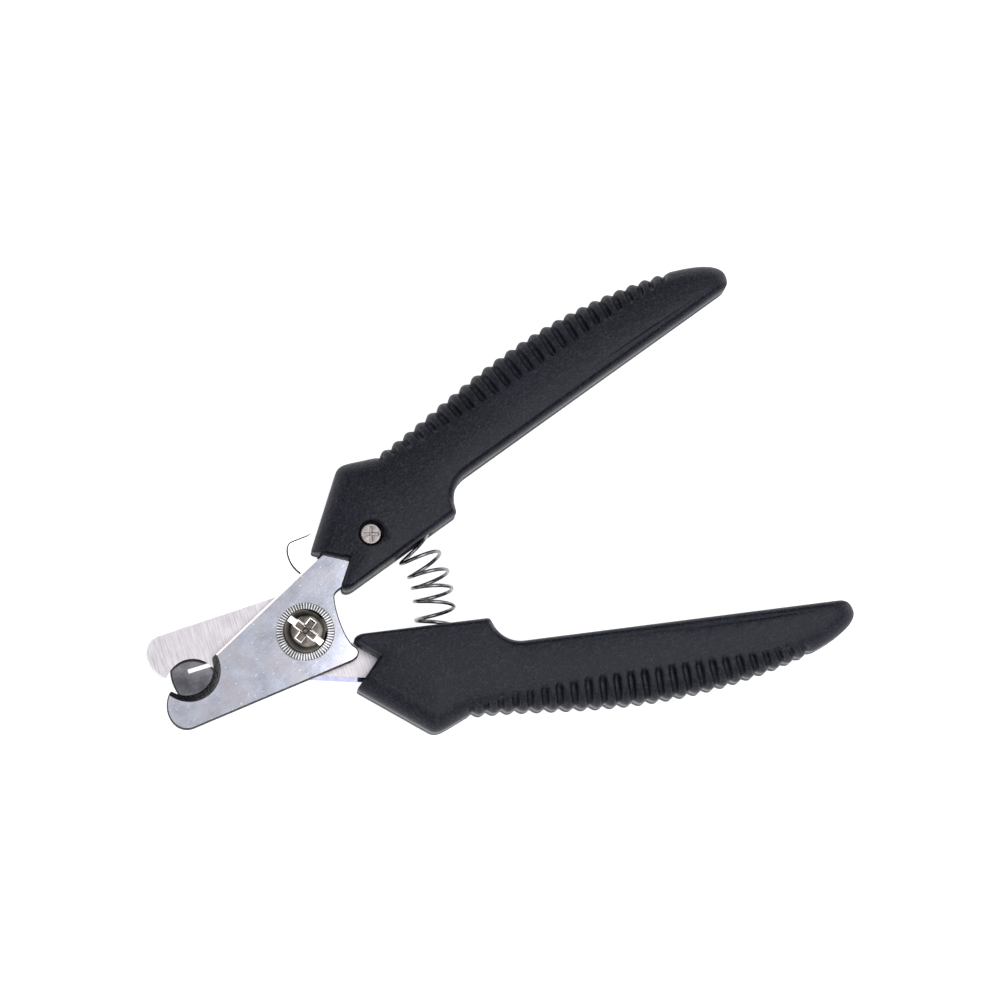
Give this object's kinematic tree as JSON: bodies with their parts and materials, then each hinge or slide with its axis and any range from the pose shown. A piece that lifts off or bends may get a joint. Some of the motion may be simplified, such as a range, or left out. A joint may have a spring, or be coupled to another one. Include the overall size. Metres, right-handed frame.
{
  "type": "pet nail clipper",
  "caption": "Plier-type pet nail clipper: two crossed notched steel blades on a pivot screw, ribbed plastic handles, a return spring and a swing-out guard plate.",
  "frame": {"origin": "pivot axis on the plane that the clipper lies on", "axes": "+X from the pivot towards the handle ends, halfway between the handles; +Y towards the upper handle; +Z towards the front face, along the pivot axis"},
  "size_m": [0.1221, 0.0738, 0.013],
  "materials": {
    "blade_steel": "satin, with brushed inner faces",
    "pivot_steel": "polished dark nickel",
    "washer_steel": "satin nickel",
    "spring_steel": "drawn wire",
    "guard_steel": "polished",
    "handle_plastic": "moulded with a fine grain",
    "screw_steel": "nickel plated"
  },
  "bodies": {
    "lower_half": {"rear_blade": "blade_steel", "lower_handle_front": "handle_plastic", "lower_handle_rear": "handle_plastic", "lower_handle_screw": "screw_steel", "pivot_screw": "pivot_steel", "knurled_washer": "washer_steel", "pivot_nut": "washer_steel", "disc_spring": "spring_steel", "return_spring": "spring_steel"},
    "upper_half": {"front_blade": "blade_steel", "upper_handle_front": "handle_plastic", "upper_handle_rear": "handle_plastic", "upper_handle_screw": "screw_steel"},
    "guard": {"guard_plate": "guard_steel"}
  },
  "joints": [
    {"name": "jaw_pivot", "type": "hinge", "parent": "lower_half", "child": "upper_half", "pos_m": [0, 0, 0.0065], "axis": [0, 0, -1], "range_deg": [0, 25], "stiffness_Nm_per_rad": 0.71, "springref_deg": -20.05, "deforming": ["return_spring"]},
    {"name": "guard_pivot", "type": "hinge", "parent": "lower_half", "child": "guard", "pos_m": [0, 0, 0.0065], "axis": [0, 0, 1], "range_deg": [0, 50]}
  ]
}
